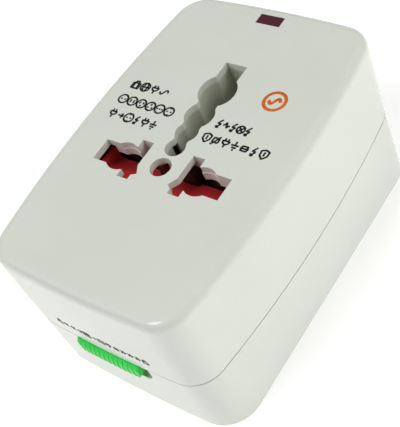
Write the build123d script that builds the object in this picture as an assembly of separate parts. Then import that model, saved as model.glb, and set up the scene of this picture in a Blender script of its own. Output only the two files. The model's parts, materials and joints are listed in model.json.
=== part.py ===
from build123d import *
from math import hypot
import os

# A universal travel adaptor in two halves. The plug half below stows its folding pins in the base.
# The socket half above carries the universal socket face and lifts off the plug half.
# Millimetres, +Z up, origin under the middle of the base. The lock slider is at the -Y end.

# Body, read from the photograph and scaled by the pin slots of the socket face
body_width = 47.4
body_length = 71.1
body_height = 35.8
joint_height = 16.1
side_bow = 2.55
end_bow = 0.8
joint_corner = 6.5
face_edge = 1.9
base_inset = 0.45
base_end_bow = 0.65
base_corner = 7.45
base_edge = 0.4
parting_gap = 0.25
wall = 1.8
face_thickness = 1.5
floor_thickness = 1.3
deck_thickness = 1.5
back_thickness = 1.3

# Clearances
fit = 0.1
running = 0.05
stow_gap = 0.3
slide_gap = 0.2

# Socket face
line_y = -6.9
guide_thickness = 1.7
guide_inset = 0.15
guide_end_room = 1.8
guide_corner_room = 1.3
guide_corner_x = 13.2
uk_slot_inner = 7.0
uk_slot_outer = 14.4
uk_slot_low = 2.35
uk_slot_high = 2.4
round_lobe_x = 9.0
round_lobe_radius = 3.2
us_slot_inner = 4.6
us_slot_outer = 7.2
us_slot_high = 4.6
us_slot_low = 4.2
slant_tip_x = 3.6
slant_tip_drop = 2.55
slant_width = 2.4
slant_length = 6.5
slant_angle = 30
centre_hole_y = -6.6
centre_hole_radius = 2.1
earth_rect_half = 2.4
earth_rect_end = 19.4
earth_lobe_y = 12.5
earth_lobe_radius = 3.9
second_lobe_y = 6.3
second_lobe_radius = 3.05
third_lobe_y = 2.0
third_lobe_radius = 2.35
last_lobe_y = -1.8
last_lobe_radius = 2.05
first_waist = 2.2
second_waist = 2.0
third_waist = 1.6
well_wall = 0.5
well_floor_depth = 17.0
well_window_low = -1.05
well_window_high = 0.35
well_window_height = 5.0
test_hole_half = 0.9
cup_clearance = 1.35
window_width = 5.5
window_height = 2.5
window_inset = 3.85

# Pins, by their published standards
uk_pin_spacing = 22.22
uk_pin_width = 6.35
uk_pin_thickness = 3.97
uk_pin_length = 17.7
uk_sleeve_length = 9.0
uk_sleeve_wall = 0.5
uk_earth_offset = 22.23
uk_earth_width = 3.97
uk_earth_depth = 7.92
uk_earth_length = 22.7
us_pin_spacing = 12.7
us_blade_width = 6.3
us_blade_thickness = 1.5
us_blade_length = 16.5
us_blade_hole_radius = 1.6
us_blade_hole_from_tip = 4.0
eu_pin_spacing = 19.0
eu_pin_radius = 2.0
eu_pin_length = 19.0
eu_sleeve_length = 10.0
eu_sleeve_radius = 1.9
eu_neck_radius = 1.2

# Folding of the pins into the base
pivot_height = 2.4
axle_radius = 0.75
uk_line_y = -12.6
us_pivot_y = -5.75
eu_pivot_y = 30.0
hub_back = 1.9
earth_neck_high = 2.85
hub_width = 4.2
yoke_half = 8.5
yoke_low = 1.3
yoke_high = 3.2
trunnion_radius = 1.0
trunnion_length = 1.2
stem_radius = 1.2
stem_length = 3.4
axle_seat = 1.2
cradle_half = 16.4
cradle_top = 8.2
cradle_wall = 1.3

# Lock slider at the end of the plug half
pad_width = 15.0
pad_height = 4.0
pad_corner = 2.2
pad_centre = -0.8
pad_proud = 1.0
pad_bulge = 0.35
pad_roll = 0.9
pad_ribs = 13
rib_depth = 0.1
rib_width = 0.75
lock_travel = 2.0
lock_recess = 3.0
lock_wall = 1.2
stem_half = 4.0
stem_low = 10.0
stem_high = 13.6
stem_reach = 1.6
plate_low = 10.4
plate_thickness = 1.0
plate_half = 11.4
plate_start_y = -31.0
plate_end_y = -22.0
rail_width = 1.0
hook_x = 6.0
hook_y = -26.0
hook_width = 2.0
hook_shank = 1.6
hook_head = 4.0
hook_head_height = 1.4

# Link between the halves
link_x = 18.2
link_y = -7.0
link_radius = 2.0
link_reach = 8.0
sleeve_wall = 0.9
sleeve_floor = 0.8
sleeve_slit = 0.6
rivet_radius = 2.8
rivet_height = 0.8
lug_thickness = 0.5
lug_width = 5.0

# Screws
screw_x = 17.2
screw_y = 27.3
boss_radius = 2.6
screw_radius = 1.1
screw_length = 8.0
screw_head_radius = 2.1
screw_head_height = 1.0
screw_slot = 0.5
screw_slot_reach = 1.3
screw_clearance = 0.03

# Fuse
fuse_x = 11.0
fuse_y = 12.0
fuse_radius = 2.6
fuse_length = 20.0
fuse_cap_length = 5.0
fuse_body_radius = 2.3
clip_thickness = 0.4
clip_height = 4.4
trough_wall = 1.0
busbar_thickness = 0.6
busbar_width = 2.0
busbar_x = 10.5
busbar_start_y = -14.0
strap_x = 13.0

# Shutter and contacts of the socket half
shutter_half = 16.0
shutter_thickness = 3.5
shutter_travel = 9.5
shutter_start_y = -12.2
shutter_end_y = -3.4
shutter_depth = 2.4
collar_start_y = -4.3
ramp_start_y = -9.4
ramp_drop = 3.0
core_half = 17.0
core_shelf = 1.2
core_wall = 1.0
core_end_y = -1.0
well_inner = 4.4
well_outer = 14.9
well_low = 4.5
well_high = 4.6
contact_thickness = 0.5
contact_height = 8.6
contact_low = 2.15
contact_high = 2.15
spring_x = 10.0
spring_radius = 1.4
spring_wire = 0.35
spring_peg = 4.0
spring_peg_gap = 0.15
peg_clearance = 0.5
pin_dimple = 0.8

# Surge circuit and indicator
board_half = 16.0
board_start_y = 22.6
board_end_y = 32.4
board_thickness = 1.2
board_height = 20.0
board_post_radius = 1.5
board_post_x = 9.0
board_post_y = 24.6
disc_x = -8.0
disc_y = 29.0
disc_radius = 4.6
disc_thickness = 3.6
resistor_x = 8.0
resistor_y = 29.6
resistor_radius = 1.2
resistor_length = 6.5
leg_radius = 0.3
lamp_radius = 1.9
lamp_gap = 0.4
lens_flange = 0.7
lens_flange_thickness = 0.8

# Heights and places that follow from the sizes above
half_length = body_length / 2
base_width = body_width - 2 * base_inset
base_length = body_length - 2 * base_inset
face_low = body_height - face_thickness
guide_low = face_low - guide_thickness
shutter_top = face_low - shutter_depth
shutter_low = shutter_top - shutter_thickness
core_top = shutter_low - stow_gap
spring_wall_y = shutter_start_y - shutter_travel - 2 * spring_peg - peg_clearance
back_top = joint_height + back_thickness
deck_low = joint_height - deck_thickness
uk_pin_x = uk_pin_spacing / 2
us_pin_x = us_pin_spacing / 2
eu_pin_x = eu_pin_spacing / 2
earth_y = uk_line_y + uk_earth_offset
earth_fold_height = stow_gap + uk_earth_depth / 2
earth_pivot_y = earth_y + pivot_height - earth_fold_height
earth_tip_y = earth_pivot_y + pivot_height + uk_earth_length
blade_height = stow_gap + us_blade_width / 2 + running
blade_root_y = us_pivot_y + pivot_height
blade_tip_y = blade_root_y + us_blade_length
eu_root_y = eu_pivot_y - pivot_height
eu_tip_y = eu_root_y - eu_pin_length
uk_root_y = uk_line_y - pivot_height
uk_tip_y = uk_root_y - uk_pin_length
earth_pin_y = line_y + uk_earth_offset
pad_top = joint_height - parting_gap / 2 - slide_gap
recess_back = lock_recess - half_length
sleeve_low = joint_height - link_reach - sleeve_floor - stow_gap
screw_places = [(x, y) for x in (-screw_x, screw_x) for y in (-screw_y, screw_y)]


def block(x, y, z):
    """A box between two limits on each axis."""
    size = (x[1] - x[0], y[1] - y[0], z[1] - z[0])
    return Pos(sum(x) / 2, sum(y) / 2, sum(z) / 2) * Box(*size)


def about(centre, half):
    """The two limits at equal distances from a centre."""
    return (centre - half, centre + half)


def upright(x, y, z, radius):
    """A cylinder that stands between two heights."""
    return Pos(x, y, sum(z) / 2) * Cylinder(radius, z[1] - z[0])


def across(x, y, z, radius):
    """A cylinder that lies along X."""
    return Pos(sum(x) / 2, y, z) * Rot(0, 90, 0) * Cylinder(radius, x[1] - x[0])


def along(x, y, z, radius):
    """A cylinder that lies along Y."""
    return Pos(x, sum(y) / 2, z) * Rot(90, 0, 0) * Cylinder(radius, y[1] - y[0])


def other_side(shape):
    """The mirror image on the other side of the middle plane."""
    return mirror(shape, about=Plane.YZ)


def both_sides(shape):
    """A shape together with its mirror image."""
    return shape + other_side(shape)


def outline(width, length, side, end, corner, height):
    """A flat rounded rectangle whose sides bow outwards, at a height."""
    x, y = width / 2, length / 2
    corners = [(x - side, end - y), (x - side, y - end), (side - x, y - end), (side - x, end - y)]
    middles = [(x, 0), (0, y), (-x, 0), (0, -y)]
    edges = []
    for start, middle, stop, bow in zip(corners, middles, corners[1:] + corners[:1], (side, end) * 2):
        edges.append(ThreePointArc(start, middle, stop) if bow else Line(start, stop))
    face = make_face(edges)
    return Pos(0, 0, height) * fillet(face.vertices(), corner)


def joint_outline(inset, height):
    """The outline at the parting line, drawn in by an inset."""
    width, length = body_width - 2 * inset, body_length - 2 * inset
    return outline(width, length, side_bow, end_bow, joint_corner - inset, height)


def base_outline(inset, height):
    """The outline of the base, whose long sides are straight."""
    width, length = base_width - 2 * inset, base_length - 2 * inset
    return outline(width, length, 0, base_end_bow, base_corner - inset, height)


def case_room(inset):
    """The inside of the plug half, from its floor to the parting line."""
    return loft([base_outline(inset, floor_thickness), joint_outline(inset, joint_height)])


def shell_room(inset, z):
    """The inside of the socket half between two heights."""
    return extrude(joint_outline(inset, z[0]), z[1] - z[0])


def flat_bar(x, y, grow):
    """A flat rectangle between limits, grown on all sides."""
    width, height = x[1] - x[0] + 2 * grow, y[1] - y[0] + 2 * grow
    return Pos(sum(x) / 2, sum(y) / 2) * Rectangle(width, height)


def earth_slot(grow):
    """The earth slot: one rectangle and a chain of four round lobes with narrow waists."""
    lobes = [
        (earth_lobe_y, earth_lobe_radius),
        (second_lobe_y, second_lobe_radius),
        (third_lobe_y, third_lobe_radius),
        (last_lobe_y, last_lobe_radius),
    ]
    shape = flat_bar(about(0, earth_rect_half), (earth_lobe_y, earth_rect_end), grow)
    for y, radius in lobes:
        shape += Pos(0, y) * Circle(radius + grow)
    for (high, _), (low, _), waist in zip(lobes, lobes[1:], (first_waist, second_waist, third_waist)):
        shape += flat_bar(about(0, waist), (low, high), grow)
    return shape


def line_slot(grow):
    """The right-hand live slot: rectangular, round, flat and slanted pins share it."""
    rect_y = (line_y - uk_slot_low, line_y + uk_slot_high)
    shape = flat_bar((uk_slot_inner, uk_slot_outer), rect_y, grow)
    shape += Pos(round_lobe_x, line_y) * Circle(round_lobe_radius + grow)
    flat_y = (line_y - us_slot_low, line_y + us_slot_high)
    shape += flat_bar((us_slot_inner, us_slot_outer), flat_y, grow)
    tip = Pos(slant_tip_x, line_y - slant_tip_drop) * Rot(0, 0, -slant_angle)
    slant = tip * Rectangle(slant_width, slant_length, align=(Align.MIN, Align.MIN))
    return shape + offset(slant, grow) if grow else shape + slant


def centre_hole(grow):
    """The round hole between the two live slots."""
    return Pos(0, centre_hole_y) * Circle(centre_hole_radius + grow)


def through(sketch, z):
    """A flat shape drawn out between two heights."""
    return extrude(Pos(0, 0, z[0]) * sketch, z[1] - z[0])


def face_openings(grow, z):
    """All the pin openings of the socket face as one set of cutters."""
    cutters = through(earth_slot(grow), z) + both_sides(through(line_slot(grow), z))
    return cutters + through(centre_hole(grow), z)


def pad_profile(shift, grow):
    """A bar with round lower corners that hangs from the parting line, in the plane of the end face."""
    half, drop = pad_width / 2 + grow, pad_height + grow
    bar = Pos(0, -drop / 2) * Rectangle(2 * half, drop)
    return Pos(pad_centre + shift, pad_top) * fillet(bar.vertices().sort_by(Axis.Y)[:2], pad_corner + grow)


def recess_profile(grow):
    """The space that the pad sweeps, open at the parting line."""
    shape = pad_profile(0, grow) + pad_profile(lock_travel, grow)
    middle = (pad_centre, pad_centre + lock_travel)
    shape += flat_bar(middle, (pad_top - pad_height - grow, pad_top), 0)
    full = (pad_centre - pad_width / 2 - grow, pad_centre + pad_width / 2 + lock_travel + grow)
    return shape + flat_bar(full, (pad_top, joint_height), 0)


def end_extrusion(sketch, y):
    """A shape of the end face drawn out between two places along the length."""
    return extrude(Plane.XZ.offset(-y[1]) * sketch, y[1] - y[0])


def pin_pockets():
    """Room in the base for the stowed pins and for their swing."""
    low = -floor_thickness
    half = uk_pin_thickness / 2
    reach, rise = hypot(pivot_height, half), hypot(hub_back, half)
    bar_x = about(0, uk_pin_x + uk_pin_width / 2 + stow_gap)
    bar_y = (uk_line_y - reach - stow_gap, uk_line_y + rise + stow_gap)
    room = block(bar_x, bar_y, (low, pivot_height + rise + stow_gap))
    pin_x = about(uk_pin_x, uk_pin_width / 2 + stow_gap)
    room += both_sides(
        block(pin_x, (uk_tip_y - 2 * stow_gap, uk_line_y), (low, pivot_height + half + stow_gap))
    )
    earth_top = stow_gap + uk_earth_depth
    earth_sweep = hypot(earth_tip_y - earth_pivot_y, earth_top - pivot_height - 2 * uk_sleeve_wall)
    room += block(
        about(0, uk_earth_width / 2 + stow_gap),
        (earth_pivot_y - hypot(hub_back, hub_back) - stow_gap, earth_pivot_y + earth_sweep + stow_gap),
        (low, earth_top + stow_gap),
    )
    back = hypot(hub_back + stow_gap, yoke_low)
    front, top = hypot(pivot_height, yoke_high), hypot(hub_back + stow_gap, yoke_high)
    room += block(
        about(0, yoke_half + stow_gap),
        (us_pivot_y - back - stow_gap, us_pivot_y + front + stow_gap),
        (low, pivot_height + top + stow_gap),
    )
    turn_half = us_blade_width / 4 + us_blade_thickness / 2 + stow_gap
    blade_top = blade_height + us_blade_width / 2
    blade_sweep = hypot(blade_tip_y - us_pivot_y, blade_top - pivot_height)
    room += both_sides(
        block(
            about(us_pin_x, turn_half),
            (us_pivot_y, us_pivot_y + blade_sweep + stow_gap),
            (low, blade_top + stow_gap),
        )
    )
    hub_rise = hypot(hub_back, eu_pin_radius)
    eu_x = about(eu_pin_x, hub_width / 2 + stow_gap)
    room += both_sides(
        block(eu_x, (eu_tip_y - stow_gap, eu_pivot_y), (low, pivot_height + eu_pin_radius + stow_gap))
    )
    root_reach = hypot(pivot_height, eu_pin_radius)
    room += both_sides(
        block(
            eu_x,
            (eu_pivot_y - root_reach - stow_gap, eu_pivot_y + hub_rise + stow_gap),
            (low, pivot_height + hub_rise + stow_gap),
        )
    )
    return room


def axle_notch(x, y, radius):
    """A slot open downwards that an axle is laid into, closed by the floor of the case."""
    slot = block(x, about(y, radius), (floor_thickness, pivot_height))
    return slot + across(x, y, pivot_height, radius)


def uk_axle_x():
    """The ends of the long axle of the two live pins."""
    return about(0, uk_pin_x + uk_pin_width / 2 + stow_gap + axle_seat)


def eu_axle_x():
    """The ends of the short axle of the right-hand round pin."""
    return about(eu_pin_x, hub_width / 2 + stow_gap + axle_seat)


def earth_axle_x():
    """The ends of the short axle of the earth pin."""
    return about(0, uk_earth_width / 2 + stow_gap + axle_seat)


def plug_case():
    """The shell of the plug half, with slots in its floor for the pins."""
    outer = loft([base_outline(0, 0), joint_outline(0, joint_height - parting_gap / 2)])
    outer = fillet(outer.faces().sort_by(Axis.Z)[0].edges(), base_edge)
    case = outer - case_room(wall)
    end_y = (-half_length - lock_wall, recess_back + lock_wall)
    case += end_extrusion(recess_profile(slide_gap + lock_wall), end_y) & outer
    for x, y in screw_places:
        case += upright(x, y, (floor_thickness, deck_low), boss_radius)
    for x in (-link_x, link_x):
        case += upright(x, link_y, (floor_thickness, sleeve_low), link_radius + sleeve_wall)
    case -= end_extrusion(recess_profile(slide_gap), (-half_length - lock_wall, recess_back))
    slot_x = (pad_centre - stem_half - slide_gap, pad_centre + stem_half + lock_travel + slide_gap)
    slot_y = (recess_back - lock_wall, recess_back + 2 * lock_wall)
    case -= block(slot_x, slot_y, (stem_low - slide_gap, stem_high + slide_gap))
    for x, y in screw_places:
        hole = (deck_low - screw_length, deck_low)
        case -= upright(x, y, hole, screw_radius + screw_clearance)
    return case - pin_pockets()


def pin_cradle():
    """The inner moulding over the floor of the case that the pins fold into."""
    block_y = about(0, half_length)
    cradle = block(about(0, cradle_half), block_y, (floor_thickness, cradle_top))
    earth_top = stow_gap + uk_earth_depth + stow_gap + cradle_wall
    earth_x = about(0, uk_earth_width / 2 + stow_gap + cradle_wall)
    cradle += block(earth_x, (earth_pivot_y, half_length), (floor_thickness, earth_top))
    cradle = cradle & case_room(wall + fit)
    end_y = (-half_length, recess_back + lock_wall)
    cradle -= end_extrusion(recess_profile(slide_gap + lock_wall + fit), (end_y[0], end_y[1] + fit))
    for y in (plate_start_y + 2 * rail_width, plate_end_y - rail_width):
        rail = (cradle_top - rail_width, plate_low - slide_gap)
        cradle += block(about(0, plate_half), about(y, rail_width / 2), rail)
    for x, y in screw_places:
        cradle -= upright(x, y, (0, joint_height), boss_radius + fit)
    for x in (-link_x, link_x):
        cradle -= upright(x, link_y, (0, joint_height), link_radius + sleeve_wall + fit)
    cradle -= pin_pockets()
    hole = axle_radius + screw_clearance
    cradle -= axle_notch(uk_axle_x(), uk_line_y, hole)
    cradle -= axle_notch(earth_axle_x(), earth_pivot_y, hole)
    cradle -= both_sides(axle_notch(eu_axle_x(), eu_pivot_y, hole))
    ends = about(0, yoke_half + trunnion_length + slide_gap)
    cradle -= axle_notch(ends, us_pivot_y, trunnion_radius + running)
    return cradle


def hook_window(inner, y_half):
    """The two openings over the lock hooks."""
    window = block(about(hook_x, inner), about(hook_y, y_half), (0, joint_height))
    return window + other_side(window)


def earth_cup_low():
    """The floor that the end of a long earth pin stays clear of."""
    return body_height - uk_earth_length - cup_clearance


def earth_cup():
    """The pocket in the deck for the end of a long earth pin, inside and outside."""
    x_half = uk_earth_width / 2 + 2 * slide_gap
    y_half = uk_earth_depth / 2 + 2 * slide_gap
    low = earth_cup_low()
    inside = block(about(0, x_half), about(earth_pin_y, y_half), (low, joint_height))
    outside = block(
        about(0, x_half + trough_wall),
        about(earth_pin_y, y_half + trough_wall),
        (low - trough_wall, joint_height),
    )
    return inside, outside


def fuse_height():
    """The height of the fuse's axis, just below the face of the deck."""
    return joint_height - fuse_radius - 2 * stow_gap


def fuse_trough():
    """The trough in the deck that holds the fuse, inside and outside."""
    x_half = fuse_radius + clip_thickness + slide_gap
    y_half = fuse_length / 2 + slide_gap
    low = fuse_height() - fuse_radius - clip_thickness
    inside = block(about(fuse_x, x_half), about(fuse_y, y_half), (low, joint_height))
    outside = block(
        about(fuse_x, x_half + trough_wall),
        about(fuse_y, y_half + trough_wall),
        (cradle_top + busbar_thickness + stow_gap, joint_height),
    )
    return inside, outside


def plug_deck():
    """The lid of the plug half, which the socket half stands on."""
    deck = case_room(wall + fit) & block(
        about(0, body_width), about(0, body_length), (deck_low, joint_height)
    )
    cup_inside, cup_outside = earth_cup()
    trough_inside, trough_outside = fuse_trough()
    deck = deck + cup_outside + trough_outside
    for y in (plate_start_y + 2 * rail_width, plate_end_y - rail_width):
        rail = (plate_low + plate_thickness + slide_gap, joint_height)
        deck += block(about(0, plate_half), about(y, rail_width / 2), rail)
    deck -= cup_inside + trough_inside
    end_y = (-half_length, recess_back + lock_wall + fit)
    deck -= end_extrusion(recess_profile(slide_gap + lock_wall + fit), end_y)
    deck -= hook_window(hook_width / 2 + 2 * slide_gap, hook_head / 2 + 2 * slide_gap)
    for x in (-link_x, link_x):
        deck -= upright(x, link_y, (0, joint_height), link_radius + slide_gap)
    for x, y in screw_places:
        deck -= screw_hole(x, y, joint_height, 1)
    for x, y in zip((strap_x, fuse_x), clip_places()):
        tail_y = about(y, clip_thickness + fit)
        deck -= block(about(x, busbar_width / 2 + fit), tail_y, (cradle_top, joint_height))
    return deck


def screw_hole(x, y, face, up):
    """A hole for a screw whose head lies flush with a face; up is 1 for a face that looks up."""
    head = sorted((face, face - up * screw_head_height))
    shank = sorted((face, face - up * screw_length))
    hole = upright(x, y, head, screw_head_radius + fit)
    return hole + upright(x, y, shank, screw_radius + fit)


def screw(x, y, face, up):
    """A screw with a cross slot in its flat head."""
    head = sorted((face, face - up * screw_head_height))
    shank = sorted((face - up * screw_head_height, face - up * screw_length))
    body = upright(x, y, head, screw_head_radius) + upright(x, y, shank, screw_radius)
    slot_z = sorted((face, face - up * screw_slot))
    arm, half = screw_slot_reach, screw_slot / 2
    body -= block(about(x, arm), about(y, half), slot_z)
    return body - block(about(x, half), about(y, arm), slot_z)


def deck_screws():
    """The four screws that hold the deck down on the bosses of the case."""
    return [screw(x, y, joint_height, 1) for x, y in screw_places]


def back_screws():
    """The four screws that hold the back plate of the socket half."""
    return [screw(x, y, joint_height, -1) for x, y in screw_places]


def link_sleeve():
    """The right-hand brass sleeve that a link post plugs into."""
    outer = link_radius + sleeve_wall
    sleeve = upright(link_x, link_y, (sleeve_low, deck_low), outer)
    sleeve -= upright(link_x, link_y, (sleeve_low + sleeve_floor, deck_low), link_radius + running)
    slit = (sleeve_low + 2 * sleeve_floor, deck_low)
    sleeve -= block((link_x, link_x + outer), about(link_y, sleeve_slit / 2), slit)
    return sleeve


def clip_places():
    """The two places along the fuse that its clips hold."""
    reach = fuse_length / 2 - fuse_cap_length / 2
    return (fuse_y - reach, fuse_y + reach)


def fuse_clip(tail_x, y):
    """A spring clip under one cap of the fuse, with a tail down through the floor of the trough."""
    inner = fuse_radius + slide_gap / 2
    low = fuse_height() - fuse_radius - clip_thickness
    half = fuse_cap_length / 2 - stow_gap
    clip = block(about(fuse_x, inner + clip_thickness), about(y, half), (low, low + clip_height))
    clip -= block(about(fuse_x, inner), about(y, half), (low + clip_thickness, joint_height))
    tail_z = (cradle_top + busbar_thickness, low + clip_thickness)
    return clip + block(about(tail_x, busbar_width / 2), about(y, clip_thickness), tail_z)


def fuse_clip_near():
    """The clip whose tail ends in a strap to the line sleeve, beside the busbar."""
    y = clip_places()[0]
    start_y = link_y - busbar_width / 2
    strap = block(about(strap_x, busbar_width / 2), (start_y, y + clip_thickness), busbar_z())
    return fuse_clip(strap_x, y) + strap + sleeve_branch(strap_x)


def fuse_clip_far():
    """The clip whose tail stands on the line busbar."""
    return fuse_clip(fuse_x, clip_places()[1])


def fuse_body():
    """The ceramic body of the fuse, between and inside its caps."""
    return along(fuse_x, about(fuse_y, fuse_length / 2 - clip_thickness), fuse_height(), fuse_body_radius)


def fuse_caps():
    """The two metal caps of the fuse."""
    caps = []
    for sign in (-1, 1):
        end = fuse_y + sign * fuse_length / 2
        span = sorted((end, end - sign * fuse_cap_length))
        cap = along(fuse_x, span, fuse_height(), fuse_radius)
        caps.append(cap - fuse_body())
    return caps


def busbar_z():
    """The heights between which the strips over the cradle lie."""
    return (cradle_top, cradle_top + busbar_thickness)


def busbar():
    """The strip on the right that joins the roots of the pins."""
    return block(about(busbar_x, busbar_width / 2), (busbar_start_y, eu_pivot_y), busbar_z())


def sleeve_branch(start_x):
    """A short strip across to the right-hand sleeve."""
    branch_x = (start_x, link_x - link_radius - sleeve_wall)
    return block(branch_x, about(link_y, busbar_width / 2), busbar_z())


def uk_axle():
    """The steel axle through the carrier of the two live pins."""
    return across(uk_axle_x(), uk_line_y, pivot_height, axle_radius)


def earth_axle():
    """The steel axle of the earth pin."""
    return across(earth_axle_x(), earth_pivot_y, pivot_height, axle_radius)


def eu_axle():
    """The steel axle of the right-hand round pin."""
    return across(eu_axle_x(), eu_pivot_y, pivot_height, axle_radius)


def uk_tang_x():
    """The width of the tang that fixes the right-hand live pin in its carrier."""
    return about(uk_pin_x, uk_pin_width / 2 - 2 * uk_sleeve_wall)


def uk_pin():
    """The right-hand live pin, stowed: a bare end, a neck inside the sleeve and a tang."""
    half = uk_pin_thickness / 2
    bare_y = (uk_tip_y, uk_root_y - uk_sleeve_length)
    pin = block(about(uk_pin_x, uk_pin_width / 2), bare_y, about(pivot_height, half))
    pin = chamfer(pin.faces().sort_by(Axis.Y)[0].edges(), uk_sleeve_wall)
    neck_y = (uk_root_y - uk_sleeve_length, uk_root_y)
    neck = block(about(uk_pin_x, uk_pin_width / 2 - uk_sleeve_wall), neck_y,
                 about(pivot_height, half - uk_sleeve_wall))
    tang = block(uk_tang_x(), (uk_root_y, uk_line_y + hub_back / 2 + axle_radius / 2),
                 about(pivot_height, half - 2 * running - uk_sleeve_wall / 2))
    pin = pin + neck + tang
    return pin - across(uk_tang_x(), uk_line_y, pivot_height, axle_radius + running)


def uk_carrier():
    """The plastic bar that turns both live pins, moulded with their half-length sleeves."""
    half = uk_pin_thickness / 2
    bar_x = about(0, uk_pin_x + uk_pin_width / 2)
    bar = block(bar_x, (uk_root_y, uk_line_y + hub_back), about(pivot_height, half))
    sleeve_y = (uk_root_y - uk_sleeve_length, uk_root_y)
    bar += both_sides(block(about(uk_pin_x, uk_pin_width / 2), sleeve_y, about(pivot_height, half)))
    bar -= across(bar_x, uk_line_y, pivot_height, axle_radius + running)
    return bar - both_sides(uk_pin())


def uk_earth_pin():
    """The plastic earth pin, stowed on edge, with the hub that it turns on."""
    low, high = stow_gap, stow_gap + uk_earth_depth
    x = about(0, uk_earth_width / 2)
    pin = block(x, (earth_pivot_y + pivot_height, earth_tip_y), (low, high))
    pin = chamfer(pin.faces().sort_by(Axis.Y)[-1].edges(), 2 * uk_sleeve_wall)
    hub_z = (pivot_height - hub_back, pivot_height + earth_neck_high)
    pin += block(x, (earth_pivot_y, earth_pivot_y + pivot_height), hub_z)
    pin += across(x, earth_pivot_y, pivot_height, hub_back)
    return pin - across(x, earth_pivot_y, pivot_height, axle_radius + running)


def us_yoke():
    """The plastic yoke that folds both flat blades, on trunnions at its ends."""
    z = (pivot_height - yoke_low, pivot_height + yoke_high)
    yoke = block(about(0, yoke_half), (us_pivot_y - hub_back - stow_gap, blade_root_y), z)
    ends = about(0, yoke_half + trunnion_length)
    yoke += across(ends, us_pivot_y, pivot_height, trunnion_radius)
    for x in (-us_pin_x, us_pin_x):
        bore = (blade_root_y - stem_length - slide_gap, blade_root_y)
        yoke -= along(x, bore, blade_height, stem_radius + running)
    return yoke


def us_blade():
    """The right-hand flat blade, stowed on edge, on the round stem that it turns about."""
    width = about(blade_height, us_blade_width / 2)
    x = about(us_pin_x, us_blade_thickness / 2)
    blade = block(x, (blade_root_y + running, blade_tip_y), width)
    blade = chamfer(blade.faces().sort_by(Axis.Y)[-1].edges(), us_blade_thickness / 4)
    hole_y = blade_tip_y - us_blade_hole_from_tip
    blade -= across(x, hole_y, blade_height, us_blade_hole_radius)
    stem_y = (blade_root_y - stem_length, blade_root_y + 2 * running)
    return blade + along(us_pin_x, stem_y, blade_height, stem_radius)


def eu_pin():
    """The right-hand round pin, stowed: a bare end with a domed tip and a thin neck."""
    bare_y = (eu_tip_y + eu_pin_radius, eu_root_y - eu_sleeve_length)
    pin = along(eu_pin_x, bare_y, pivot_height, eu_pin_radius)
    pin += Pos(eu_pin_x, eu_tip_y + eu_pin_radius, pivot_height) * Sphere(eu_pin_radius)
    neck_y = (eu_root_y - eu_sleeve_length, eu_root_y + pivot_height / 2)
    return pin + along(eu_pin_x, neck_y, pivot_height, eu_neck_radius)


def eu_hub():
    """The plastic hub of the right-hand round pin, moulded with its half-length sleeve."""
    x = about(eu_pin_x, hub_width / 2)
    hub = block(x, (eu_root_y, eu_pivot_y), about(pivot_height, eu_pin_radius))
    hub += across(x, eu_pivot_y, pivot_height, hub_back)
    hub += along(eu_pin_x, (eu_root_y - eu_sleeve_length, eu_root_y), pivot_height, eu_sleeve_radius)
    hub -= across(x, eu_pivot_y, pivot_height, axle_radius + running)
    neck_y = (eu_root_y - eu_sleeve_length, eu_root_y + pivot_height / 2)
    return hub - along(eu_pin_x, neck_y, pivot_height, eu_neck_radius)


def pad_form(relief):
    """The barrel of the thumb pad, which bulges out of the end face, its front set back by a relief."""
    half, back = pad_width / 2, recess_back - slide_gap
    crest = relief - half_length - pad_proud
    left, right = pad_centre - half, pad_centre + half
    low, high = pad_top - pad_height, pad_top
    plan = make_face([
        Line((left, back), (left, crest + pad_bulge)),
        ThreePointArc((left, crest + pad_bulge), (pad_centre, crest), (right, crest + pad_bulge)),
        Line((right, crest + pad_bulge), (right, back)),
        Line((right, back), (left, back)),
    ])
    side = make_face([
        Line((back, low), (crest + pad_roll, low)),
        ThreePointArc((crest + pad_roll, low), (crest, (low + high) / 2), (crest + pad_roll, high)),
        Line((crest + pad_roll, high), (back, high)),
        Line((back, high), (back, low)),
    ])
    form = end_extrusion(pad_profile(0, 0), (crest, back))
    form = form & extrude(Pos(0, 0, low) * plan, pad_height)
    return form & extrude(Plane.YZ.offset(left) * side, pad_width)


def lock_pad():
    """The green thumb pad: a ribbed barrel on a stem through the end wall."""
    crests = pad_form(0)
    pad = pad_form(rib_depth)
    pitch = pad_width / pad_ribs
    for count in range(pad_ribs):
        rib_x = pad_centre - pad_width / 2 + pitch * (count + 1 / 2)
        reach = (-half_length - pad_proud, recess_back)
        pad += crests & block(about(rib_x, rib_width / 2), reach, (0, joint_height))
    stem_y = (recess_back - slide_gap, recess_back + lock_wall + stem_reach)
    pad += block(about(pad_centre, stem_half), stem_y, (stem_low, stem_high))
    return pad - lock_plate()


def lock_plate():
    """The steel plate behind the pad whose keyholes trap the hooks of the socket half."""
    z = (plate_low, plate_low + plate_thickness)
    plate = block(about(0, plate_half), (plate_start_y, plate_end_y), z)
    wide = hook_width / 2 + 2 * slide_gap
    for x in (-hook_x, hook_x):
        plate -= block(about(x, wide), about(hook_y, hook_head / 2 + 2 * slide_gap), z)
        narrow = (x - lock_travel - wide, x)
        plate -= block(narrow, about(hook_y, hook_shank / 2 + slide_gap), z)
    return plate


def window_block(grow, z):
    """The space of the indicator window between two heights."""
    y = half_length - window_inset
    return block(about(0, window_width / 2 + grow), about(y, window_height / 2 + grow), z)


def socket_shell():
    """The shell of the socket half: the face with its openings, and the walls round it."""
    low = joint_height + parting_gap / 2
    shell = extrude(joint_outline(0, low), body_height - low)
    shell = fillet(shell.faces().sort_by(Axis.Z)[-1].edges(), face_edge)
    shell -= shell_room(wall, (low, face_low))
    for x, y in screw_places:
        shell += upright(x, y, (back_top, face_low), boss_radius)
        hole = (back_top, joint_height + screw_length)
        shell -= upright(x, y, hole, screw_radius + screw_clearance)
    shell -= face_openings(0, (face_low, body_height))
    return shell - window_block(0, (face_low, body_height))


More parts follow.
